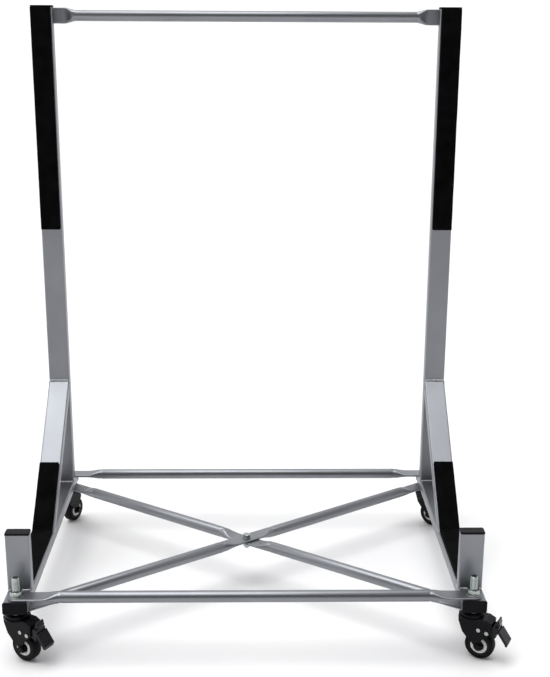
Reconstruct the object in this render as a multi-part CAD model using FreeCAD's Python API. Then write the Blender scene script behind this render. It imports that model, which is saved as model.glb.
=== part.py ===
import FreeCAD, Part
import math
import os

# Rolling storage stand: two welded side frames of rectangular tube, joined by three round cross bars and a
# crossed pair of round diagonals, standing on four swivel stem casters.
# Frame: millimetres, +X to the right, +Y to the back, +Z up. The origin is on the floor, at the centre of
# the rectangle that the four caster stems make.

# ---------------------------------------------------------------- driving dimensions
STAND_WIDTH = 800.0        # outer face to outer face of the side frames
TUBE_W = 40.0              # rectangular tube, wide side (across the stand)
TUBE_D = 20.0              # rectangular tube, narrow side
TUBE_WALL = 1.5
TUBE_CORNER = 2.5          # outside corner radius
RAIL_LENGTH = 556.0
RAIL_HALF = RAIL_LENGTH / 2
STEM_INSET = 16.0          # stem centre to the end of its rail
UPRIGHT_FRONT_Y = 226.0
UPRIGHT_LENGTH = 945.0
POST_FRONT_Y = -234.6
POST_LENGTH = 100.0
BRACE_FOOT_Y = -21.0       # where the brace's top face meets the rail
BRACE_RISE = 221.0         # height above the rail where it meets the upright

BAR_D = 20.0               # round tube
BAR_WALL = 2.0
TAB_T = 4.0                # flattened tube, two walls pressed together
TAB_END = 15.0             # tab beyond its hole
BASE_BAR_FLAT_X = 337.0    # half-lengths where a base bar's tab ends and its round part starts
BASE_BAR_ROUND_X = 305.0
TOP_BAR_FLAT_X = 341.0
TOP_BAR_ROUND_X = 318.0
TOP_BAR_HEIGHT = 930.0     # axis above the rail's top
DIAGONAL_FLAT = 51.0       # distance from its hole, along the tube
DIAGONAL_ROUND = 78.0
CROSS_FLAT = 26.0          # half-length of the flat where the diagonals cross
CROSS_ROUND = 58.0

PAD_T = 10.0
PAD_W = 37.0
PAD_OFFSET = 0.5           # from the middle of the tube, outward
UPPER_PAD_LENGTH = 414.0
LOWER_PAD_SLOPE = 144.0    # length up the brace
PAD_GAP = 14.6             # between the lower pad's tip and the post

CAP_T = 3.5
CAP_LIP = 0.6              # how far a cap stands proud of its tube
CAP_PLUG = 7.0
CAP_PLUG_GAP = 0.2

STEM_D = 12.0              # M12
STEM_HOLE_D = 12.6
STEM_RISE = 38.0           # stem top above the rail's top
WASHER_D, WASHER_T = 24.0, 2.0
NUT_AF, NUT_H = 19.0, 8.0
SMALL_D, SMALL_HOLE_D = 8.0, 8.4          # M8 fasteners
SMALL_AF, SMALL_HEAD_H, SMALL_NUT_H = 13.0, 5.3, 6.5
SMALL_WASHER_D, SMALL_WASHER_T = 16.0, 1.6
RIVET_BODY_R, RIVET_BULGE_R = 5.4, 7.0    # threaded inserts in the uprights
RIVET_DEPTH, RIVET_BULGE_T = 12.0, 3.0

CASTER_HEIGHT = 84.0       # floor to the stem's shoulder
WHEEL_R = 25.0
TYRE_INNER_R = 18.0
TYRE_HALF_W = 9.0
TRAIL = 16.5               # stem axis to wheel axis
CROWN_Z, CROWN_T = 74.0, 2.5
CROWN_R = 22.0
LEG_INNER_Y, LEG_T = 11.0, 2.5
BOSS_R = 7.5
AXLE_R, AXLE_RUN = 3.0, 0.05
BUSH_R = 5.0
RING_R0, RING_R1, RING_PROUD = 9.0, 14.2, 0.6
KINGPIN_R, KINGPIN_RUN = 4.0, 0.05
CUP_R, CUP_TOP_Z, CUP_T = 20.0, 82.3, 2.0
PIN_R, PIN_RUN = 2.0, 0.05
PIN_HEAD_R, PIN_HEAD_T = 3.4, 1.4
BRAKE_PIVOT = (30.0, 53.5)  # from the stem axis, and above the floor
SPACER_PIN = (16.0, 56.0)
PEDAL_HALF_W = 12.0
PEDAL_TIP_ROUND = 3.5

# Each caster: side, end, the way its wheel trails (degrees from +X, in plan), and whether it has a brake.
CASTERS = {
    "front_left": (-1, -1, -30.0, True),
    "front_right": (1, -1, -28.0, True),
    "rear_left": (-1, 1, 65.0, False),
    "rear_right": (1, 1, -45.0, False),
}

# ---------------------------------------------------------------- derived places
RAIL_X = (STAND_WIDTH - TUBE_W) / 2
RAIL_BOTTOM_Z = CASTER_HEIGHT + TAB_T
RAIL_TOP_Z = RAIL_BOTTOM_Z + TUBE_D
STEM_Y = RAIL_HALF - STEM_INSET
UPRIGHT_REAR_Y = UPRIGHT_FRONT_Y + TUBE_D
UPRIGHT_TOP_Z = RAIL_TOP_Z + UPRIGHT_LENGTH
BRACE_ANGLE = math.atan2(BRACE_RISE, UPRIGHT_FRONT_Y - BRACE_FOOT_Y)
TOP_BAR_Z = RAIL_TOP_Z + TOP_BAR_HEIGHT
CROSS_Z = RAIL_BOTTOM_Z - TAB_T / 2
SIDES = {"left": -1, "right": 1}
BIG = 3000.0

X_AXIS = FreeCAD.Vector(1, 0, 0)
Y_AXIS = FreeCAD.Vector(0, 1, 0)
Z_AXIS = FreeCAD.Vector(0, 0, 1)
ORIGIN = FreeCAD.Vector(0, 0, 0)


# ---------------------------------------------------------------- building blocks
def vec(x, y, z):
    return FreeCAD.Vector(x, y, z)


def box(x0, x1, y0, y1, z0, z1):
    return Part.makeBox(x1 - x0, y1 - y0, z1 - z0, vec(x0, y0, z0))


def cylinder(radius, start, end):
    span = end - start
    return Part.makeCylinder(radius, span.Length, start, span)


def moved(shape, offset):
    copy = shape.copy()
    copy.translate(offset)
    return copy


def turned(shape, axis, degrees, centre=ORIGIN):
    copy = shape.copy()
    copy.rotate(centre, axis, degrees)
    return copy


def prism(points, direction):
    """A solid with a flat outline, pushed along a vector."""
    return Part.Face(Part.makePolygon(points + points[:1])).extrude(direction)


def rounded_bar(width, depth, corner, z0, z1):
    """An upright bar of rounded rectangular section, centred on the Z axis."""
    bar = box(-width / 2, width / 2, -depth / 2, depth / 2, z0, z1)
    upright_edges = [e for e in bar.Edges if abs(e.tangentAt(e.FirstParameter).z) > 0.99]
    return bar.makeFillet(corner, upright_edges)


def rectangular_tube(length):
    """Tube along +Z from the origin, its wide side along X."""
    outer = rounded_bar(TUBE_W, TUBE_D, TUBE_CORNER, 0, length)
    bore = rounded_bar(
        TUBE_W - 2 * TUBE_WALL, TUBE_D - 2 * TUBE_WALL, TUBE_CORNER - TUBE_WALL, -1, length + 1
    )
    return outer.cut(bore)


def hex_prism(across_flats, z0, z1):
    """A hexagon about the Z axis, with the corners of both ends turned off like a real nut."""
    corner_r = across_flats / math.sqrt(3)
    angles = [math.radians(60 * i + 30) for i in range(6)]
    points = [vec(corner_r * math.cos(a), corner_r * math.sin(a), z0) for a in angles]
    body = prism(points, vec(0, 0, z1 - z0))
    turned_off = (corner_r - across_flats / 2) * 0.9
    outer_r = corner_r + 0.05
    profile = [
        vec(0, 0, z0),
        vec(outer_r - turned_off, 0, z0),
        vec(outer_r, 0, z0 + turned_off * 0.6),
        vec(outer_r, 0, z1 - turned_off * 0.6),
        vec(outer_r - turned_off, 0, z1),
        vec(0, 0, z1),
    ]
    lathe = Part.Face(Part.makePolygon(profile + profile[:1])).revolve(ORIGIN, Z_AXIS, 360)
    return body.common(lathe)


def lathe_y(profile):
    """A solid turned about the Y axis from (radius, y) points."""
    points = [vec(r, y, 0) for r, y in profile]
    return Part.Face(Part.makePolygon(points + points[:1])).revolve(ORIGIN, Y_AXIS, 360)


def end_cap(thickness=CAP_T):
    """Plastic plug for a tube end: its flange sits on Z = 0 and the plug goes down."""
    flange = rounded_bar(TUBE_W + 2 * CAP_LIP, TUBE_D + 2 * CAP_LIP, TUBE_CORNER + CAP_LIP, 0, thickness)
    top_edges = [e for e in flange.Edges if e.BoundBox.ZMin > thickness - 0.01]
    flange = flange.makeFillet(1.6, top_edges)
    inner_w = TUBE_W - 2 * TUBE_WALL - 2 * CAP_PLUG_GAP
    inner_d = TUBE_D - 2 * TUBE_WALL - 2 * CAP_PLUG_GAP
    plug = rounded_bar(inner_w, inner_d, 0.9, -CAP_PLUG, 0)
    hollow = box(-inner_w / 2 + 2, inner_w / 2 - 2, -inner_d / 2 + 2, inner_d / 2 - 2, -CAP_PLUG - 1, -1.0)
    return flange.fuse(plug.cut(hollow))


# ---------------------------------------------------------------- round tube with flattened parts
def flat_width(thickness, diameter):
    """Width of a round tube pressed to this thickness: its way round stays the same."""
    return (math.pi * diameter - math.pi * thickness) / 2 + thickness


def section(x, thickness, diameter, z):
    """A pressed-tube outline across the X axis: four curves, so that every section matches the next."""
    r = thickness / 2
    if diameter - thickness < 1e-6:
        corner = math.radians(50)
        py, pz, side = r * math.cos(corner), r * math.sin(corner), r
    else:
        py = (flat_width(thickness, diameter) - thickness) / 2
        pz, side = r, py + r
    a, b = vec(x, py, z + pz), vec(x, -py, z + pz)
    c, d = vec(x, -py, z - pz), vec(x, py, z - pz)
    if diameter - thickness < 1e-6:
        top = Part.Arc(a, vec(x, 0, z + r), b).toShape()
        bottom = Part.Arc(c, vec(x, 0, z - r), d).toShape()
    else:
        top, bottom = Part.makeLine(a, b), Part.makeLine(c, d)
    left = Part.Arc(b, vec(x, -side, z), c).toShape()
    right = Part.Arc(d, vec(x, side, z), a).toShape()
    return Part.Wire([top, left, bottom, right])


def transition(x_flat, x_round, thin, diameter, z_flat, steps=4):
    """The stretch where the tube goes from flat to round, easing in and out."""
    wires = []
    for i in range(steps + 1):
        u = i / steps
        ease = u * u * (3 - 2 * u)
        thickness = thin + (diameter - thin) * ease
        x = x_flat + (x_round - x_flat) * u
        wires.append(section(x, thickness, diameter, z_flat * (1 - ease)))
    return Part.makeLoft(wires, True, False)


def straight(x0, x1, thickness, diameter, z):
    face = Part.Face(section(x0, thickness, diameter, z))
    return face.extrude(vec(x1 - x0, 0, 0))


def pressed_form(half, flat, round_at, diameter, thin, overrun, cross=None, z_cross=0.0):
    """Solid form along X, flat at both ends and, if asked, where it crosses another tube."""
    pieces = []
    for side in (-1, 1):
        if overrun:
            pieces.append(straight(side * (half + overrun), side * flat, thin, diameter, 0))
        pieces.append(transition(side * flat, side * round_at, thin, diameter, 0))
        if cross:
            pieces.append(straight(side * round_at, side * cross[1], diameter, diameter, 0))
            pieces.append(transition(side * cross[0], side * cross[1], thin, diameter, z_cross))
    if cross:
        pieces.append(straight(-cross[0], cross[0], thin, diameter, z_cross))
    else:
        pieces.append(straight(-round_at, round_at, diameter, diameter, 0))
    return pieces[0].fuse(pieces[1:])


def pressed_tube(hole_x, flat, round_at, hole_d, cross=None, z_cross=0.0, cross_hole_d=0.0):
    """A round tube with flattened, rounded, drilled ends, hollow wherever it isn't pressed flat."""
    outer = pressed_form(hole_x, flat, round_at, BAR_D, TAB_T, TAB_END, cross, z_cross)
    width = flat_width(TAB_T, BAR_D)
    ends = box(-hole_x, hole_x, -BAR_D, BAR_D, -BAR_D, BAR_D)
    for side in (-1, 1):
        ends = ends.fuse(cylinder(width / 2, vec(side * hole_x, 0, -BAR_D), vec(side * hole_x, 0, BAR_D)))
    tube = outer.common(ends)
    bore_d = BAR_D - 2 * BAR_WALL
    slit = 0.5
    if cross:
        inner_cross = (cross[0] + 4, cross[1])
        for side in (-1, 1):
            bore = transition(side * flat, side * round_at, slit, bore_d, 0)
            bore = bore.fuse(straight(side * round_at, side * cross[1], bore_d, bore_d, 0))
            bore = bore.fuse(transition(side * inner_cross[0], side * inner_cross[1], slit, bore_d, z_cross))
            tube = tube.cut(bore)
        tube = tube.cut(cylinder(cross_hole_d / 2, vec(0, 0, -BAR_D), vec(0, 0, BAR_D)))
    else:
        tube = tube.cut(pressed_form(hole_x, flat, round_at, bore_d, slit, 0))
    for side in (-1, 1):
        hole = cylinder(hole_d / 2, vec(side * hole_x, 0, -BAR_D), vec(side * hole_x, 0, BAR_D))
        tube = tube.cut(hole)
    return tube


# ---------------------------------------------------------------- side frames
def base_rail(side):
    tube = turned(rectangular_tube(RAIL_LENGTH), X_AXIS, -90)
    tube = moved(tube, vec(side * RAIL_X, -RAIL_HALF, RAIL_TOP_Z - TUBE_D / 2))
    for end in (-1, 1):
        hole = cylinder(
            STEM_HOLE_D / 2,
            vec(side * RAIL_X, end * STEM_Y, RAIL_BOTTOM_Z - 1),
            vec(side * RAIL_X, end * STEM_Y, RAIL_TOP_Z + 1),
        )
        tube = tube.cut(hole)
    return tube


def upright(side):
    tube = moved(
        rectangular_tube(UPRIGHT_LENGTH), vec(side * RAIL_X, UPRIGHT_FRONT_Y + TUBE_D / 2, RAIL_TOP_Z)
    )
    hole = cylinder(
        RIVET_BODY_R,
        vec(side * RAIL_X, UPRIGHT_REAR_Y - 2 * TUBE_WALL, TOP_BAR_Z),
        vec(side * RAIL_X, UPRIGHT_REAR_Y + 1, TOP_BAR_Z),
    )
    return tube.cut(hole)


def brace(side):
    """Sloping strut, cut flush to the rail's top and the upright's front."""
    tube = moved(rectangular_tube(900.0), vec(0, TUBE_D / 2, -200))
    tube = turned(tube, X_AXIS, -math.degrees(math.pi / 2 - BRACE_ANGLE))
    tube = moved(tube, vec(side * RAIL_X, BRACE_FOOT_Y, RAIL_TOP_Z))
    return tube.common(box(-BIG, BIG, -BIG, UPRIGHT_FRONT_Y, RAIL_TOP_Z, BIG))


def post(side):
    tube = rectangular_tube(POST_LENGTH)
    return moved(tube, vec(side * RAIL_X, POST_FRONT_Y + TUBE_D / 2, RAIL_TOP_Z))


def rail_end_caps():
    caps = []
    for side in SIDES.values():
        for end in (-1, 1):
            cap = turned(end_cap(), X_AXIS, -90 * end)
            caps.append(moved(cap, vec(side * RAIL_X, end * RAIL_HALF, RAIL_TOP_Z - TUBE_D / 2)))
    return caps


def top_caps(centre_y, top_z):
    return [moved(end_cap(), vec(side * RAIL_X, centre_y, top_z)) for side in SIDES.values()]


# ---------------------------------------------------------------- foam pads
def upper_pad(side):
    x = side * (RAIL_X + PAD_OFFSET)
    top = UPRIGHT_TOP_Z
    return box(
        x - PAD_W / 2, x + PAD_W / 2, UPRIGHT_FRONT_Y - PAD_T, UPRIGHT_FRONT_Y, top - UPPER_PAD_LENGTH, top
    )


def lower_pad(side):
    """One strip that runs from the post along the rail and bends up the brace."""
    along = vec(0, math.cos(BRACE_ANGLE), math.sin(BRACE_ANGLE))
    outward = vec(0, -math.sin(BRACE_ANGLE), math.cos(BRACE_ANGLE))
    x = side * (RAIL_X + PAD_OFFSET) - PAD_W / 2
    tip_y = POST_FRONT_Y + TUBE_D + PAD_GAP
    foot = vec(x, BRACE_FOOT_Y, RAIL_TOP_Z)
    head = foot + along * LOWER_PAD_SLOPE
    inner_bend = vec(x, BRACE_FOOT_Y - PAD_T * math.tan(BRACE_ANGLE / 2), RAIL_TOP_Z + PAD_T)
    outline = [
        vec(x, tip_y, RAIL_TOP_Z),
        foot,
        head,
        head + outward * PAD_T,
        inner_bend,
        vec(x, tip_y, RAIL_TOP_Z + PAD_T),
    ]
    return prism(outline, vec(PAD_W, 0, 0))


# ---------------------------------------------------------------- bars and diagonals
def base_bar(end):
    tube = pressed_tube(RAIL_X, BASE_BAR_FLAT_X, BASE_BAR_ROUND_X, STEM_HOLE_D)
    return moved(tube, vec(0, end * STEM_Y, RAIL_TOP_Z + TAB_T / 2))


def top_bar():
    tube = pressed_tube(RAIL_X, TOP_BAR_FLAT_X, TOP_BAR_ROUND_X, SMALL_HOLE_D)
    tube = turned(tube, X_AXIS, 90)
    return moved(tube, vec(0, UPRIGHT_REAR_Y + TAB_T / 2, TOP_BAR_Z))


def diagonal(slope, level):
    """slope +1 rises from front left to rear right; level +1 lies on top at the crossing."""
    half = math.hypot(RAIL_X, STEM_Y)
    tube = pressed_tube(
        half,
        half - DIAGONAL_FLAT,
        half - DIAGONAL_ROUND,
        STEM_HOLE_D,
        (CROSS_FLAT, CROSS_ROUND),
        level * TAB_T / 2,
        SMALL_HOLE_D,
    )
    tube = turned(tube, Z_AXIS, slope * math.degrees(math.atan2(STEM_Y, RAIL_X)))
    return moved(tube, vec(0, 0, CROSS_Z))


# ---------------------------------------------------------------- fasteners
def annulus(outer_r, inner_r, z0, z1):
    return cylinder(outer_r, vec(0, 0, z0), vec(0, 0, z1)).cut(
        cylinder(inner_r, vec(0, 0, z0 - 1), vec(0, 0, z1 + 1))
    )


def at_stems(shape):
    return [
        moved(shape, vec(side * RAIL_X, end * STEM_Y, 0)) for side, end, _, _ in CASTERS.values()
    ]


def stem_washers():
    z = RAIL_TOP_Z + TAB_T
    return at_stems(annulus(WASHER_D / 2, STEM_D / 2 + 0.4, z, z + WASHER_T))


def stem_nuts():
    z = RAIL_TOP_Z + TAB_T + WASHER_T
    nut = hex_prism(NUT_AF, z, z + NUT_H)
    return at_stems(nut.cut(cylinder(STEM_D / 2, vec(0, 0, z - 1), vec(0, 0, z + NUT_H + 1))))


def small_bolt(length):
    """M8 hex bolt: head below Z = 0, shank along +Z."""
    head = hex_prism(SMALL_AF, -SMALL_HEAD_H, 0)
    shank = cylinder(SMALL_D / 2, ORIGIN, vec(0, 0, length - 0.8))
    tip = Part.makeCone(SMALL_D / 2, SMALL_D / 2 - 0.8, 0.8, vec(0, 0, length - 0.8), Z_AXIS)
    return head.fuse([shank, tip])


def rear_facing(shape, z_of_plane):
    """Place a fastener drawn along +Z so that it points forward, on both uprights."""
    return [
        moved(turned(shape, X_AXIS, 90), vec(side * RAIL_X, z_of_plane, TOP_BAR_Z))
        for side in SIDES.values()
    ]


def top_bar_bolts():
    return rear_facing(small_bolt(18.0), UPRIGHT_REAR_Y + TAB_T + SMALL_WASHER_T)


def top_bar_washers():
    washer = annulus(SMALL_WASHER_D / 2, SMALL_HOLE_D / 2, 0, SMALL_WASHER_T)
    return rear_facing(washer, UPRIGHT_REAR_Y + TAB_T + SMALL_WASHER_T)


def top_bar_rivet_nuts():
    """Threaded inserts set in the uprights' rear walls from inside the bar's tab."""
    sleeve = annulus(RIVET_BODY_R, SMALL_D / 2, 0, RIVET_DEPTH)
    collar = annulus(RIVET_BULGE_R, SMALL_D / 2, TUBE_WALL, TUBE_WALL + RIVET_BULGE_T)
    return rear_facing(sleeve.fuse(collar), UPRIGHT_REAR_Y)


def cross_bolt():
    top = CROSS_Z + TAB_T + SMALL_WASHER_T
    bolt = turned(small_bolt(22.0), X_AXIS, 180)
    return moved(bolt, vec(0, 0, top))


def cross_washers():
    upper = annulus(SMALL_WASHER_D / 2, SMALL_HOLE_D / 2, CROSS_Z + TAB_T, CROSS_Z + TAB_T + SMALL_WASHER_T)
    lower = annulus(SMALL_WASHER_D / 2, SMALL_HOLE_D / 2, CROSS_Z - TAB_T - SMALL_WASHER_T, CROSS_Z - TAB_T)
    return [upper, lower]


def cross_nut():
    top = CROSS_Z - TAB_T - SMALL_WASHER_T
    nut = hex_prism(SMALL_AF, top - SMALL_NUT_H, top)
    return nut.cut(cylinder(SMALL_D / 2, vec(0, 0, top - SMALL_NUT_H - 1), vec(0, 0, top + 1)))


# ---------------------------------------------------------------- caster parts fixed to the frame
def caster_stems():
    """Threaded stem, hexagon collar and the king pin that holds the fork."""
    top = RAIL_TOP_Z + STEM_RISE
    rod = cylinder(STEM_D / 2, vec(0, 0, CASTER_HEIGHT), vec(0, 0, top - 1.2))
    point = Part.makeCone(STEM_D / 2, STEM_D / 2 - 1.2, 1.2, vec(0, 0, top - 1.2), Z_AXIS)
    collar = hex_prism(NUT_AF, CUP_TOP_Z, CASTER_HEIGHT)
    pin = cylinder(KINGPIN_R, vec(0, 0, CROWN_Z - 3.0), vec(0, 0, CUP_TOP_Z))
    rivet = cylinder(7.0, vec(0, 0, CROWN_Z - 3.0), vec(0, 0, CROWN_Z - 0.3))
    return at_stems(rod.fuse([point, collar, pin, rivet]))


def swivel_cups():
    """Pressed cup over the fork's crown."""
    cup = cylinder(CUP_R, vec(0, 0, CROWN_Z + CROWN_T + 0.8), vec(0, 0, CUP_TOP_Z))
    cup = cup.makeFillet(1.8, [e for e in cup.Edges if e.BoundBox.ZMin > CUP_TOP_Z - 0.01])
    hollow = cylinder(CUP_R - 1.8, vec(0, 0, 0), vec(0, 0, CUP_TOP_Z - CUP_T))
    bore = cylinder(KINGPIN_R, vec(0, 0, 0), vec(0, 0, CUP_TOP_Z + 1))
    return at_stems(cup.cut(hollow).cut(bore))


# ---------------------------------------------------------------- moving caster parts
# Drawn with the stem on the Z axis and the wheel trailing along +X, then turned into place.
def placed(shape, caster):
    side, end, heading, _ = CASTERS[caster]
    return moved(turned(shape, Z_AXIS, heading), vec(side * RAIL_X, end * STEM_Y, 0))


def outline_xz(points, width):
    """A solid with this side view, centred on the wheel's middle plane."""
    solid = prism([vec(x, 0, z) for x, z in points], vec(0, width, 0))
    return moved(solid, vec(0, -width / 2, 0))


def leg_outline(braked):
    """Side view of a fork leg, as a face in the XZ plane at Y = 0."""
    top = CROWN_Z + CROWN_T
    left, right = math.radians(165), math.radians(60)
    start = vec(TRAIL + BOSS_R * math.cos(left), 0, WHEEL_R + BOSS_R * math.sin(left))
    bottom = vec(TRAIL, 0, WHEEL_R - BOSS_R)
    finish = vec(TRAIL + BOSS_R * math.cos(right), 0, WHEEL_R + BOSS_R * math.sin(right))
    if braked:
        back_points = [(22.5, 40.0), (33.0, 48.0), (37.5, 52.0), (38.0, 71.5), (28.0, top)]
    else:
        back_points = [(22.5, 40.0), (29.0, 52.0), (24.0, top)]
    front_points = [(-19.5, top), (-19.0, 66.0), (-12.0, 47.0), (-2.0, 36.0)]
    edges = [Part.Arc(start, bottom, finish).toShape()]
    corners = [finish] + [vec(x, 0, z) for x, z in back_points + front_points] + [start]
    edges += [Part.makeLine(a, b) for a, b in zip(corners, corners[1:])]
    return Part.Face(Part.Wire(edges))


def pin_places(braked):
    return [BRAKE_PIVOT, SPACER_PIN] if braked else []


def fork(braked):
    """Pressed steel fork: a crown over the wheel and a leg down each side."""
    outer_y = LEG_INNER_Y + LEG_T
    leg = leg_outline(braked).extrude(vec(0, LEG_T, 0))
    legs = [moved(leg, vec(0, LEG_INNER_Y, 0)), moved(leg, vec(0, -outer_y, 0))]
    z0, z1 = CROWN_Z, CROWN_Z + CROWN_T
    crown = cylinder(CROWN_R, vec(0, 0, z0), vec(0, 0, z1))
    bridge = box(-4, 24.0, -outer_y, outer_y, z0, z1)
    nose = [(-19.5, z1), (-19.0, 66.0), (-16.5, 66.0), (-17.0, z0), (-10.0, z0), (-10.0, z1)]
    covers = [outline_xz(nose, 2 * outer_y)]
    if braked:
        hood = [(22.0, z1), (28.0, z1), (38.0, 71.5), (37.2, 69.2), (27.2, z0), (22.0, z0)]
        covers.append(outline_xz(hood, 2 * outer_y))
    body = crown.fuse([bridge] + legs + covers)
    body = body.cut(cylinder(KINGPIN_R + KINGPIN_RUN, vec(0, 0, z0 - 1), vec(0, 0, z1 + 1)))
    axle_hole = cylinder(AXLE_R, vec(TRAIL, -BIG, WHEEL_R), vec(TRAIL, BIG, WHEEL_R))
    body = body.cut(axle_hole)
    for x, z in pin_places(braked):
        body = body.cut(cylinder(PIN_R, vec(x, -BIG, z), vec(x, BIG, z)))
    return body


def axle():
    """Axle bolt through both legs, with its nut."""
    reach = LEG_INNER_Y + LEG_T
    shank = cylinder(AXLE_R, vec(0, -reach, 0), vec(0, reach + 6.0, 0))
    head = turned(hex_prism(10.0, 0, 4.0), X_AXIS, 90)
    nut = turned(hex_prism(10.0, 0, 5.0), X_AXIS, -90)
    bore = cylinder(AXLE_R, vec(0, 0, 0), vec(0, 30, 0))
    bolt = shank.fuse(moved(head, vec(0, -reach, 0)))
    nut = moved(nut.cut(bore), vec(0, reach, 0))
    return [moved(part, vec(TRAIL, 0, WHEEL_R)) for part in (bolt, nut)]


def at_axle(shape):
    return moved(shape, vec(TRAIL, 0, WHEEL_R))


def tyre():
    """Tyre with a gently crowned tread and rounded shoulders."""
    w, r = TYRE_HALF_W, WHEEL_R
    shoulder = 3.5
    inner = [vec(TYRE_INNER_R, -w, 0), vec(r - shoulder, -w, 0)]
    right = Part.Arc(inner[1], vec(r - 1.25, -w + 0.9, 0), vec(r - 0.5, -w + shoulder, 0)).toShape()
    tread = Part.Arc(vec(r - 0.5, -w + shoulder, 0), vec(r, 0, 0), vec(r - 0.5, w - shoulder, 0)).toShape()
    left = Part.Arc(
        vec(r - 0.5, w - shoulder, 0), vec(r - 1.25, w - 0.9, 0), vec(r - shoulder, w, 0)
    ).toShape()
    edges = [
        Part.makeLine(inner[0], inner[1]),
        right,
        tread,
        left,
        Part.makeLine(vec(r - shoulder, w, 0), vec(TYRE_INNER_R, w, 0)),
        Part.makeLine(vec(TYRE_INNER_R, w, 0), inner[0]),
    ]
    return at_axle(Part.Face(Part.Wire(edges)).revolve(ORIGIN, Y_AXIS, 360))


def hub():
    """Moulded wheel centre: rim, a dished web on each side and the boss round the bush."""
    w = TYRE_HALF_W
    profile = [
        (BUSH_R, -w - 0.8),
        (7.0, -w - 0.8),
        (7.6, -w + 1.2),
        (RING_R0 - 0.6, -w + 1.2),
        (RING_R1 + 0.6, -w + 1.2),
        (RING_R1 + 1.0, -w),
        (TYRE_INNER_R, -w),
        (TYRE_INNER_R, w),
        (RING_R1 + 1.0, w),
        (RING_R1 + 0.6, w - 1.2),
        (RING_R0 - 0.6, w - 1.2),
        (7.6, w - 1.2),
        (7.0, w + 0.8),
        (BUSH_R, w + 0.8),
    ]
    return at_axle(lathe_y(profile))


def rings():
    """Bright trim ring on each face of the wheel."""
    w = TYRE_HALF_W
    middle = (RING_R0 + RING_R1) / 2
    shapes = []
    for side in (-1, 1):
        base, face = side * (w - 1.2), side * (w + RING_PROUD)
        points = [
            vec(RING_R0, base, 0),
            vec(RING_R0, side * (w - 0.3), 0),
            vec(middle, face, 0),
            vec(RING_R1, side * (w - 0.3), 0),
            vec(RING_R1, base, 0),
        ]
        crown = Part.Arc(points[1], points[2], points[3]).toShape()
        edges = [
            Part.makeLine(points[0], points[1]),
            crown,
            Part.makeLine(points[3], points[4]),
            Part.makeLine(points[4], points[0]),
        ]
        shapes.append(at_axle(Part.Face(Part.Wire(edges)).revolve(ORIGIN, Y_AXIS, 360)))
    return shapes


def bush():
    inner, reach = AXLE_R + AXLE_RUN, LEG_INNER_Y - 0.5
    return at_axle(lathe_y([(inner, -reach), (BUSH_R, -reach), (BUSH_R, reach), (inner, reach)]))


def fork_pins():
    """Headed pins across the fork: the pedal's pivot and a spacer."""
    reach = LEG_INNER_Y + LEG_T
    pins = []
    for x, z in pin_places(True):
        pin = cylinder(PIN_R, vec(x, -reach, z), vec(x, reach, z))
        heads = [
            cylinder(PIN_HEAD_R, vec(x, side * reach, z), vec(x, side * (reach + PIN_HEAD_T), z))
            for side in (-1, 1)
        ]
        pins.append(pin.fuse(heads))
    return pins


def brake_pedal():
    """Rocker: arms between the fork legs, a shoe over the tyre, a release tip and a broad tread plate."""
    x, z = BRAKE_PIVOT
    inner_w = 2 * (LEG_INNER_Y - 0.5)
    barrel = cylinder(3.6, vec(x, -inner_w / 2, z), vec(x, inner_w / 2, z))
    arm = outline_xz(
        [(28.0, 56.5), (40.5, 67.0), (49.0, 66.0), (50.0, 57.0), (42.0, 50.0), (31.0, 50.5)], inner_w
    )
    shoe = outline_xz([(33.0, 52.0), (38.2, 45.6), (41.2, 42.6), (44.5, 46.0), (44.0, 53.0)], 14.0)
    release = outline_xz(
        [(41.5, 66.0), (49.0, 66.0), (50.0, 71.0), (48.5, 78.5), (46.0, 78.5), (43.5, 73.0)], 16.0
    )
    plate = outline_xz(
        [
            (48.0, 57.5),
            (51.0, 61.5),
            (58.5, 51.0),
            (66.0, 40.5),
            (64.5, 34.5),
            (61.5, 34.5),
            (61.5, 38.5),
            (53.5, 50.0),
        ],
        2 * PEDAL_HALF_W,
    )
    lowest = plate.BoundBox.ZMin + 0.01
    tip_corners = [e for e in plate.Edges if e.BoundBox.YLength < 0.01 and e.BoundBox.ZMax < lowest]
    plate = plate.makeFillet(PEDAL_TIP_ROUND, tip_corners)
    body = barrel.fuse([arm, shoe, release, plate])
    return body.cut(cylinder(PIN_R + PIN_RUN, vec(x, -BIG, z), vec(x, BIG, z)))


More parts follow.
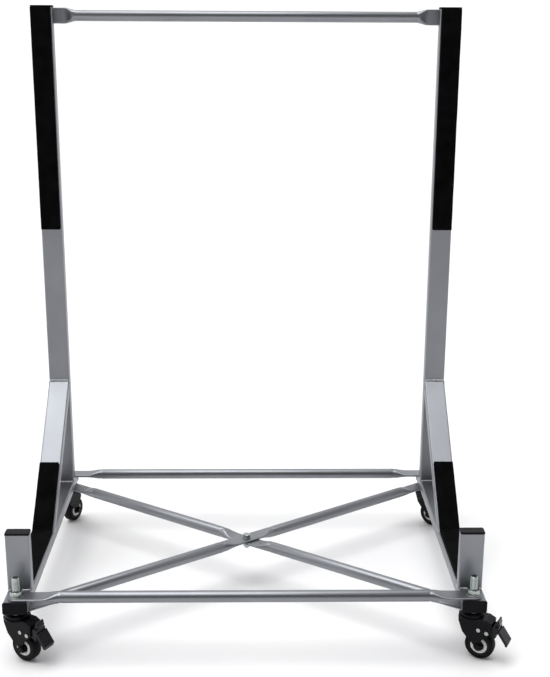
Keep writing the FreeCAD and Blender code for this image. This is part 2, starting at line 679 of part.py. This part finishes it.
# ---------------------------------------------------------------- the whole stand
def build():
    nodes = {}
    for name, side in SIDES.items():
        nodes[name + "_base_rail"] = base_rail(side)
        nodes[name + "_upright"] = upright(side)
        nodes[name + "_brace"] = brace(side)
        nodes[name + "_post"] = post(side)
        nodes[name + "_upper_pad"] = upper_pad(side)
        nodes[name + "_lower_pad"] = lower_pad(side)
    nodes["rail_end_caps"] = rail_end_caps()
    nodes["upright_caps"] = top_caps(UPRIGHT_FRONT_Y + TUBE_D / 2, UPRIGHT_TOP_Z)
    nodes["post_caps"] = top_caps(POST_FRONT_Y + TUBE_D / 2, RAIL_TOP_Z + POST_LENGTH)

    nodes["top_bar"] = top_bar()
    nodes["front_bar"] = base_bar(-1)
    nodes["rear_bar"] = base_bar(1)
    nodes["upper_diagonal"] = diagonal(1, 1)
    nodes["lower_diagonal"] = diagonal(-1, -1)

    nodes["top_bar_bolts"] = top_bar_bolts()
    nodes["top_bar_washers"] = top_bar_washers()
    nodes["top_bar_rivet_nuts"] = top_bar_rivet_nuts()
    nodes["cross_bolt"] = cross_bolt()
    nodes["cross_washers"] = cross_washers()
    nodes["cross_nut"] = cross_nut()
    nodes["stem_washers"] = stem_washers()
    nodes["stem_nuts"] = stem_nuts()
    nodes["caster_stems"] = caster_stems()
    nodes["swivel_cups"] = swivel_cups()

    for caster, (_, _, _, braked) in CASTERS.items():
        pieces = {
            "fork": [fork(braked)],
            "axle": axle(),
            "tyre": [tyre()],
            "hub": [hub()],
            "trim_rings": rings(),
            "bush": [bush()],
        }
        if braked:
            pieces["fork_pins"] = fork_pins()
            pieces["brake_pedal"] = [brake_pedal()]
        for name, shapes in pieces.items():
            nodes[caster + "_" + name] = [placed(shape, caster) for shape in shapes]
    return nodes


def export(name, shape):
    solids = shape if isinstance(shape, list) else [shape]
    solids = [solid.removeSplitter() for solid in solids]
    for solid in solids:
        if not solid.isValid() or len(solid.Solids) != 1:
            print("check", name, "valid", solid.isValid(), "solids", len(solid.Solids))
    whole = solids[0] if len(solids) == 1 else Part.makeCompound(solids)
    whole.exportStep("parts/" + name + ".step")


os.makedirs("parts", exist_ok=True)
for node_name, node_shape in build().items():
    export(node_name, node_shape)
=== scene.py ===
import math
import bpy
import bmesh
from mathutils import Matrix, Vector, noise


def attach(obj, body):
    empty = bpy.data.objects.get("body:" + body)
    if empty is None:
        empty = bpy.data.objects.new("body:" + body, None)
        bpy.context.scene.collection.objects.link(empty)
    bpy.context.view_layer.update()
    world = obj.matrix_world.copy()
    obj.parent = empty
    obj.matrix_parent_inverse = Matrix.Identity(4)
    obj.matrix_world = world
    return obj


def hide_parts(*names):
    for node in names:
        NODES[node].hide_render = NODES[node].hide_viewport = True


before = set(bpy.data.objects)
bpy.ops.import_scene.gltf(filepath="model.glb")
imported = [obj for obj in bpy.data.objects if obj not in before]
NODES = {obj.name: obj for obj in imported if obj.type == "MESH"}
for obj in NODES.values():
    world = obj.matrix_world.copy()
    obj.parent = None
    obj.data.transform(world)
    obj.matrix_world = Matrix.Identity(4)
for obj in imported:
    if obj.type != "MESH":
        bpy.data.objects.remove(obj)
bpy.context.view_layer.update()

# ---------------------------------------------------------------- sizes, in metres
TUBE_X = 0.380             # middle of each side frame
TUBE_HALF = 0.020
RAIL_TOP = 0.108
STEM_Y = 0.262
UPRIGHT_FRONT, UPRIGHT_REAR = 0.226, 0.246
POST_FRONT, POST_REAR = -0.2346, -0.2146
BRACE_FOOT_Y = -0.021
BRACE_RISE = 0.221
BRACE_RUN = UPRIGHT_FRONT - BRACE_FOOT_Y
BRACE_ANGLE = math.atan2(BRACE_RISE, BRACE_RUN)
TUBE_DEPTH = 0.020

PAD_T, PAD_HALF_W = 0.010, 0.0185
PAD_X = TUBE_X + 0.0005
PAD_ROUND = 0.0016
PAD_STEP = 0.004
ROUND_STATIONS = (0.08, 0.3, 0.6, 1.0)    # where a strip's rounded end is sampled, in corner radii
UPPER_PAD = (0.639, 1.053)
LOWER_PAD_TIP_Y = -0.200
LOWER_PAD_SLOPE = 0.144

STEM_R, THREAD_PITCH, THREAD_DEPTH = 0.006, 0.00175, 0.00065
THREAD_ROOT_R = STEM_R - 0.0006
THREAD_FACETS = 28
STEM_TOP = RAIL_TOP + 0.038
NUT_TOP = RAIL_TOP + 0.014

SIDES = {"left": -1, "right": 1}
CORNERS = {"front_left": (-1, -1), "front_right": (1, -1), "rear_left": (-1, 1), "rear_right": (1, 1)}


# ---------------------------------------------------------------- materials
class Look:
    """A procedural material: helpers that add one texture step each."""

    def __init__(self, name, color, rough, metal=0.0):
        self.material = bpy.data.materials.new(name)
        self.material.use_nodes = True
        self.nodes = self.material.node_tree.nodes
        self.links = self.material.node_tree.links
        self.shader = self.nodes["Principled BSDF"]
        self.place = self.nodes.new("ShaderNodeTexCoord").outputs["Object"]
        self.set("Base Color", (*color, 1.0))
        self.set("Roughness", rough)
        self.set("Metallic", metal)

    def set(self, socket, value):
        self.shader.inputs[socket].default_value = value

    def join(self, source, socket):
        self.links.new(source, self.shader.inputs[socket])

    def noise(self, scale, detail=2.0, stretch=None):
        node = self.nodes.new("ShaderNodeTexNoise")
        node.inputs["Scale"].default_value = scale
        node.inputs["Detail"].default_value = detail
        source = self.place
        if stretch:
            mapping = self.nodes.new("ShaderNodeMapping")
            mapping.inputs["Scale"].default_value = stretch
            self.links.new(source, mapping.inputs["Vector"])
            source = mapping.outputs["Vector"]
        self.links.new(source, node.inputs["Vector"])
        return node.outputs["Fac"]

    def cells(self, scale):
        node = self.nodes.new("ShaderNodeTexVoronoi")
        node.inputs["Scale"].default_value = scale
        self.links.new(self.place, node.inputs["Vector"])
        return node.outputs["Distance"]

    def ramp(self, source, low, high, at=(0.3, 0.7)):
        """Grey or colour ramp between two values."""
        node = self.nodes.new("ShaderNodeValToRGB")
        for element, position, value in zip(node.color_ramp.elements, at, (low, high)):
            element.position = position
            colour = value if isinstance(value, tuple) else (value, value, value)
            element.color = (*colour, 1.0)
        self.links.new(source, node.inputs["Fac"])
        return node.outputs["Color"]

    def bump(self, *layers):
        """layers are (height source, strength, distance in metres), chained from first to last."""
        normal = None
        for height, strength, distance in layers:
            node = self.nodes.new("ShaderNodeBump")
            node.inputs["Strength"].default_value = strength
            node.inputs["Distance"].default_value = distance
            self.links.new(height, node.inputs["Height"])
            if normal:
                self.links.new(normal, node.inputs["Normal"])
            normal = node.outputs["Normal"]
        self.join(normal, "Normal")


def silver_coat():
    """Silver powder coat: metal flake under a fine orange peel."""
    look = Look("silver_powder_coat", (0.252, 0.261, 0.280), 0.40, 1.0)
    drift = look.noise(9.0, 3.0)
    look.join(look.ramp(drift, (0.236, 0.244, 0.262), (0.270, 0.279, 0.298)), "Base Color")
    look.join(look.ramp(look.noise(900.0, 2.0), 0.36, 0.48), "Roughness")
    look.bump((look.noise(1400.0, 1.0), 0.10, 0.0002), (look.noise(260.0, 2.0), 0.05, 0.0006))
    return look.material


def foam():
    """Black closed-cell foam: fine pores, and a little dust on the skin."""
    look = Look("closed_cell_foam", (0.012, 0.012, 0.013), 0.92)
    dust = look.ramp(look.noise(38.0, 5.0), (0.0016, 0.0016, 0.0018), (0.0046, 0.0046, 0.0049))
    look.join(dust, "Base Color")
    look.join(look.ramp(look.noise(500.0), 0.82, 0.98), "Roughness")
    look.set("Specular IOR Level", 0.03)
    look.bump((look.cells(900.0), 0.55, 0.0004), (look.noise(120.0, 3.0), 0.2, 0.0008))
    return look.material


def plastic(name, dark, light, rough, grain, shine=0.5):
    look = Look(name, dark, rough)
    look.join(look.ramp(look.noise(60.0, 4.0), dark, light), "Base Color")
    look.join(look.ramp(look.noise(300.0, 2.0), rough - 0.06, rough + 0.08), "Roughness")
    look.set("Specular IOR Level", shine)
    look.bump((look.cells(grain), 0.12, 0.0002))
    return look.material


def zinc():
    """Bright zinc plate: a faint green cast that varies, and rolled streaks."""
    look = Look("zinc_plate", (0.36, 0.40, 0.385), 0.22, 1.0)
    look.join(look.ramp(look.noise(45.0, 3.0), (0.32, 0.365, 0.35), (0.42, 0.445, 0.425)), "Base Color")
    look.join(look.ramp(look.noise(700.0, 2.0, stretch=(1, 1, 0.1)), 0.18, 0.28), "Roughness")
    look.bump((look.noise(900.0, 2.0), 0.05, 0.0002))
    return look.material


def weld_metal():
    """Weld beads under the same silver coat, bumpier and brighter."""
    look = Look("coated_weld", (0.44, 0.44, 0.46), 0.36, 1.0)
    look.join(look.ramp(look.noise(240.0, 3.0), (0.37, 0.37, 0.39), (0.54, 0.54, 0.56)), "Base Color")
    look.bump((look.noise(700.0, 3.0), 0.35, 0.0005))
    return look.material


LOOKS = {
    "silver": silver_coat(),
    "foam": foam(),
    "cap": plastic("cap_plastic", (0.0040, 0.0034, 0.0050), (0.0066, 0.0055, 0.0082), 0.40, 1500.0, 0.08),
    "zinc": zinc(),
    "fork": plastic("black_e_coat", (0.0028, 0.0024, 0.0034), (0.0058, 0.0050, 0.0070), 0.27, 1100.0, 0.10),
    "pedal": plastic("pedal_coat", (0.0045, 0.0038, 0.0062), (0.0072, 0.0060, 0.0098), 0.22, 1100.0, 0.20),
    "tyre": plastic("tyre_rubber", (0.0038, 0.0038, 0.0036), (0.0072, 0.0072, 0.0068), 0.60, 700.0, 0.10),
    "core": plastic("wheel_core", (0.0050, 0.0056, 0.0054), (0.0090, 0.0100, 0.0094), 0.38, 1300.0, 0.14),
    "ring": plastic("wheel_ring", (0.62, 0.62, 0.58), (0.74, 0.74, 0.70), 0.34, 1500.0),
    "weld": weld_metal(),
}


def look_of(node):
    """Which finish a CAD node takes, from its name."""
    rules = [
        ("_pad", "foam"),
        ("_caps", "cap"),
        ("_fork", "fork"),
        ("_pedal", "pedal"),
        ("_cups", "fork"),
        ("_tyre", "tyre"),
        ("_hub", "core"),
        ("_bush", "core"),
        ("_axle", "fork"),
        ("_rings", "ring"),
    ]
    for ending, name in rules:
        if node.endswith(ending):
            return name
    if any(word in node for word in ("bolt", "washer", "nut", "stems", "pins")):
        return "zinc"
    return "silver"


for node_name, node in NODES.items():
    node.data.materials.clear()
    node.data.materials.append(LOOKS[look_of(node_name)])


# ---------------------------------------------------------------- edge softening of the CAD pieces
def soften(obj, width, angle=35.0, segments=2):
    """Rounds the sharp edges of a machined or pressed piece by a hair."""
    weld = obj.modifiers.new("join_edges", "WELD")
    weld.merge_threshold = 2e-5
    bevel = obj.modifiers.new("soft_edges", "BEVEL")
    bevel.width = width
    bevel.segments = segments
    bevel.limit_method = "ANGLE"
    bevel.angle_limit = math.radians(angle)
    bevel.use_clamp_overlap = True


SOFT_EDGES = {
    "_fork": 0.0005,
    "_brake_pedal": 0.0008,
    "_fork_pins": 0.0005,
    "_axle": 0.0004,
    "stem_nuts": 0.0003,
    "top_bar_bolts": 0.0003,
    "cross_bolt": 0.0003,
    "cross_nut": 0.0003,
    "_bar": 0.0004,
    "_diagonal": 0.0004,
    "_washers": 0.0003,
}
for node_name, node in NODES.items():
    for ending, width in SOFT_EDGES.items():
        if node_name.endswith(ending):
            soften(node, width)


# ---------------------------------------------------------------- mesh helpers
def new_object(name, bm, look, body="frame"):
    mesh = bpy.data.meshes.new(name)
    bmesh.ops.recalc_face_normals(bm, faces=bm.faces)
    bm.to_mesh(mesh)
    bm.free()
    obj = bpy.data.objects.new(name, mesh)
    bpy.context.scene.collection.objects.link(obj)
    for face in mesh.polygons:
        face.use_smooth = True
    mesh.materials.append(LOOKS[look])
    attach(obj, body)
    return obj


def skin(bm, rings):
    """Faces between successive rings of points, closed at both ends."""
    loops = [[bm.verts.new(p) for p in ring] for ring in rings]
    count = len(loops[0])
    for a, b in zip(loops, loops[1:]):
        for i in range(count):
            j = (i + 1) % count
            bm.faces.new((a[i], a[j], b[j], b[i]))
    bm.faces.new(list(reversed(loops[0])))
    bm.faces.new(loops[-1])


# ---------------------------------------------------------------- foam pads
def pad_outline(inset):
    """Rounded rectangle across the strip: (x, height) points, flat on the adhesive side."""
    half, top, r = PAD_HALF_W - inset, PAD_T - inset, PAD_ROUND
    points = [(-half, 0.0)]
    for corner_x, start in ((-half + r, 180), (half - r, 90)):
        for step in range(5):
            a = math.radians(start - 22.5 * step)
            points.append((corner_x + r * math.cos(a), top - r + r * math.sin(a)))
        if start == 180:
            points += [(corner_x + (half - r) * 2 * k / 12, top) for k in range(1, 12)]
    points.append((half, 0.0))
    points += [(half - 2 * half * k / 12, 0.0) for k in range(1, 12)]
    return points


def foam_strip(name, x, path):
    """A strip laid along a path in the YZ plane. path is [(y, z)], the glued face."""
    corners = [Vector(p) for p in path]
    stations = []
    for k, (a, b) in enumerate(zip(corners, corners[1:])):
        length = (b - a).length
        count = max(2, int(length / PAD_STEP))
        direction = (b - a) / length
        up = Vector((-direction.y, direction.x))
        steps = [length * i / count for i in range(1 if k else 0, count + 1)]
        if k == 0:
            steps += [PAD_ROUND * f for f in ROUND_STATIONS]
        if k + 2 == len(corners):
            steps += [length - PAD_ROUND * f for f in ROUND_STATIONS]
        stations += [[a + direction * step, up, 1.0] for step in sorted(steps)]
        if k + 2 < len(corners):
            onward = (corners[k + 2] - b).normalized()
            mitre = (up + Vector((-onward.y, onward.x))).normalized()
            stations[-1][1] = mitre
            stations[-1][2] = 1.0 / mitre.dot(up)
    total = sum((b - a).length for a, b in zip(corners, corners[1:]))
    bm = bmesh.new()
    rings, run = [], 0.0
    for n, (point, up, stretch) in enumerate(stations):
        run += (point - stations[n - 1][0]).length if n else 0.0
        near_end = max(0.0, min(run, total - run))
        inset = 0.0
        if near_end < PAD_ROUND:
            inset = PAD_ROUND - math.sqrt(PAD_ROUND**2 - (PAD_ROUND - near_end) ** 2)
        ring = []
        for px, height in pad_outline(inset * 0.6):
            ripple = 0.00022 * noise.noise(Vector((px * 60, run * 28, x * 9)))
            lift = height * stretch + (ripple if height > PAD_T / 2 else 0.0)
            base = point + up * lift
            ring.append((x + px + (ripple if abs(px) > PAD_HALF_W * 0.9 else 0.0), base.x, base.y))
        rings.append(ring)
    skin(bm, rings)
    pad = new_object(name, bm, "foam")
    return pad


for side_name, side in SIDES.items():
    pad_x = side * PAD_X
    upper = foam_strip(side_name + "_upper_foam", pad_x, [(UPRIGHT_FRONT, z) for z in UPPER_PAD])
    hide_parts(side_name + "_upper_pad")
    head = (
        BRACE_FOOT_Y + LOWER_PAD_SLOPE * math.cos(BRACE_ANGLE),
        RAIL_TOP + LOWER_PAD_SLOPE * math.sin(BRACE_ANGLE),
    )
    lower_path = [(LOWER_PAD_TIP_Y, RAIL_TOP), (BRACE_FOOT_Y, RAIL_TOP), head]
    lower = foam_strip(side_name + "_lower_foam", pad_x, lower_path)
    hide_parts(side_name + "_lower_pad")


# ---------------------------------------------------------------- weld beads
def weld_bead(name, start, end, radius, ripple=0.0026):
    """A stack of overlapping weld ripples along a straight seam."""
    a, b = Vector(start), Vector(end)
    along = (b - a).normalized()
    side_a = along.orthogonal().normalized()
    side_b = along.cross(side_a)
    length = (b - a).length
    count = int(length / 0.0005)
    rings = []
    for i in range(count + 1):
        s = length * i / count
        wave = abs(math.sin(math.pi * s / ripple))
        fade = min(1.0, min(s, length - s) / 0.0015 + 0.35)
        wander = noise.noise(a * 90 + along * s * 160)
        r = radius * (0.80 + 0.20 * wave + 0.16 * wander) * fade
        centre = a + along * s + side_b * radius * 0.18 * wander
        ring = []
        for k in range(10):
            angle = 2 * math.pi * k / 10
            ring.append(centre + side_a * r * math.cos(angle) + side_b * r * math.sin(angle))
        rings.append(ring)
    bm = bmesh.new()
    skin(bm, rings)
    return new_object(name, bm, "weld")


inner, outer = TUBE_X - TUBE_HALF, TUBE_X + TUBE_HALF
brace_cut = TUBE_DEPTH / math.cos(BRACE_ANGLE)
foot_cut = TUBE_DEPTH / math.sin(BRACE_ANGLE)
for side_name, side in SIDES.items():
    lo, hi = side * (inner + 0.0018), side * (outer - 0.0018)
    brace_top = RAIL_TOP + BRACE_RISE
    brace_low = brace_top - brace_cut
    heel_y = BRACE_FOOT_Y + foot_cut
    seams = {
        "brace_head": ((lo, UPRIGHT_FRONT, brace_top), (hi, UPRIGHT_FRONT, brace_top), 0.0030),
        "brace_under": ((lo, UPRIGHT_FRONT, brace_low), (hi, UPRIGHT_FRONT, brace_low), 0.0024),
        "brace_heel": ((lo, heel_y, RAIL_TOP), (hi, heel_y, RAIL_TOP), 0.0024),
        "upright_front": ((lo, UPRIGHT_FRONT, RAIL_TOP), (hi, UPRIGHT_FRONT, RAIL_TOP), 0.0026),
        "upright_rear": ((lo, UPRIGHT_REAR, RAIL_TOP), (hi, UPRIGHT_REAR, RAIL_TOP), 0.0024),
        "post_front": ((lo, POST_FRONT, RAIL_TOP), (hi, POST_FRONT, RAIL_TOP), 0.0020),
    }
    for x, face in ((inner, "in"), (outer, "out")):
        seams["brace_head_" + face] = (
            (side * x, UPRIGHT_FRONT, brace_low + 0.002),
            (side * x, UPRIGHT_FRONT, brace_top - 0.002),
            0.0013,
        )
        seams["upright_foot_" + face] = (
            (side * x, UPRIGHT_FRONT + 0.003, RAIL_TOP),
            (side * x, UPRIGHT_REAR - 0.003, RAIL_TOP),
            0.0012,
        )
        seams["post_foot_" + face] = (
            (side * x, POST_FRONT + 0.003, RAIL_TOP),
            (side * x, POST_REAR - 0.003, RAIL_TOP),
            0.0012,
        )
        seams["brace_foot_" + face] = (
            (side * x, BRACE_FOOT_Y + 0.003, RAIL_TOP),
            (side * x, heel_y - 0.003, RAIL_TOP),
            0.0012,
        )
    for seam, (start, end, radius) in seams.items():
        weld_bead(side_name + "_weld_" + seam, start, end, radius)


# ---------------------------------------------------------------- stem threads
def thread(name, x, y, bottom, top):
    """A rolled screw thread standing round the stem, fading out at both ends."""
    turns = (top - bottom) / THREAD_PITCH
    steps = int(turns * THREAD_FACETS)
    half = THREAD_PITCH * 0.46
    bm = bmesh.new()
    rings = []
    for i in range(steps + 1):
        angle = 2 * math.pi * i / THREAD_FACETS
        z = bottom + THREAD_PITCH * angle / (2 * math.pi)
        fade = min(1.0, i / 14, (steps - i) / 14)
        crest = STEM_R - 0.0002 + THREAD_DEPTH * fade
        profile = [(THREAD_ROOT_R, -half), (crest, -half * 0.15), (crest, half * 0.15), (THREAD_ROOT_R, half)]
        rings.append([(x + r * math.cos(angle), y + r * math.sin(angle), z + dz) for r, dz in profile])
    skin(bm, rings)
    return new_object(name, bm, "zinc")


for corner, (sx, sy) in CORNERS.items():
    thread(corner + "_stem_thread", sx * TUBE_X, sy * STEM_Y, NUT_TOP - 0.001, STEM_TOP - 0.0025)


# ---------------------------------------------------------------- floor, light and camera
FLOOR_HALF = 400.0         # its edge lies close to the horizon, and shows from the sides and from behind


def floor():
    bm = bmesh.new()
    bmesh.ops.create_grid(bm, x_segments=8, y_segments=8, size=FLOOR_HALF)
    mesh = bpy.data.meshes.new("studio_floor")
    bm.to_mesh(mesh)
    bm.free()
    obj = bpy.data.objects.new("studio_floor", mesh)
    bpy.context.scene.collection.objects.link(obj)
    look = Look("pale_floor", (0.9, 0.9, 0.9), 0.55)
    look.join(look.ramp(look.noise(3.0, 3.0), (0.89, 0.89, 0.90), (0.92, 0.92, 0.92)), "Base Color")
    mesh.materials.append(look.material)


def area_light(name, place, target, size, power):
    data = bpy.data.lights.new(name, "AREA")
    data.shape = "RECTANGLE"
    data.size, data.size_y = size
    data.energy = power
    obj = bpy.data.objects.new(name, data)
    bpy.context.scene.collection.objects.link(obj)
    aim = Vector(target) - Vector(place)
    obj.matrix_world = Matrix.Translation(place) @ aim.to_track_quat("-Z", "Y").to_matrix().to_4x4()


def soft_sun(name, direction, strength, spread):
    """Broad, even light from one direction, like a bank of diffusers."""
    data = bpy.data.lights.new(name, "SUN")
    data.energy = strength
    data.angle = math.radians(spread)
    obj = bpy.data.objects.new(name, data)
    bpy.context.scene.collection.objects.link(obj)
    obj.matrix_world = Vector(direction).to_track_quat("-Z", "Y").to_matrix().to_4x4()


def sky():
    """White studio surround, dim on the near side so that the tubes keep their tone."""
    world = bpy.data.worlds.new("studio")
    bpy.context.scene.world = world
    world.use_nodes = True
    nodes, links = world.node_tree.nodes, world.node_tree.links
    background = nodes["Background"]
    place = nodes.new("ShaderNodeTexCoord")
    split = nodes.new("ShaderNodeSeparateXYZ")
    links.new(place.outputs["Generated"], split.inputs["Vector"])
    ramp = nodes.new("ShaderNodeValToRGB")
    stops = ramp.color_ramp.elements
    stops[0].position, stops[0].color = 0.20, (0.10, 0.10, 0.11, 1.0)
    stops[1].position, stops[1].color = 0.88, (1.0, 1.0, 1.0, 1.0)
    span = nodes.new("ShaderNodeMapRange")
    span.inputs["From Min"].default_value = -1.0
    span.inputs["From Max"].default_value = 1.0
    links.new(split.outputs["Y"], span.inputs["Value"])
    links.new(span.outputs["Result"], ramp.inputs["Fac"])
    links.new(ramp.outputs["Color"], background.inputs["Color"])
    background.inputs["Strength"].default_value = 1.06


def camera():
    """Level with the top bar, looking down at the base."""
    yaw, pitch, roll = 0.0183, 0.2773, -0.0052
    forward = Vector((math.sin(yaw) * math.cos(pitch), math.cos(yaw) * math.cos(pitch), -math.sin(pitch)))
    level = Vector((math.cos(yaw), -math.sin(yaw), 0.0))
    down = forward.cross(level)
    right = math.cos(roll) * level + math.sin(roll) * down
    low = -math.sin(roll) * level + math.cos(roll) * down
    data = bpy.data.cameras.new("camera")
    data.sensor_fit = "VERTICAL"
    data.sensor_height = 36.0
    data.lens = 60.02
    obj = bpy.data.objects.new("camera", data)
    turn = Matrix((right, -low, -forward)).transposed().to_4x4()
    obj.matrix_world = Matrix.Translation((0.01575, -1.9516, 1.0369)) @ turn
    bpy.context.scene.collection.objects.link(obj)
    bpy.context.scene.camera = obj


floor()
sky()
soft_sun("key", (0.17, 0.05, -0.95), 2.05, 46.0)
area_light("fill_left", (-3.0, -0.8, 1.6), (0.0, 0.0, 0.4), (2.0, 2.0), 18.0)
area_light("fill_right", (3.0, -0.6, 1.5), (0.0, 0.0, 0.4), (2.0, 2.0), 6.0)
camera()
bpy.context.scene.view_settings.view_transform = "Standard"
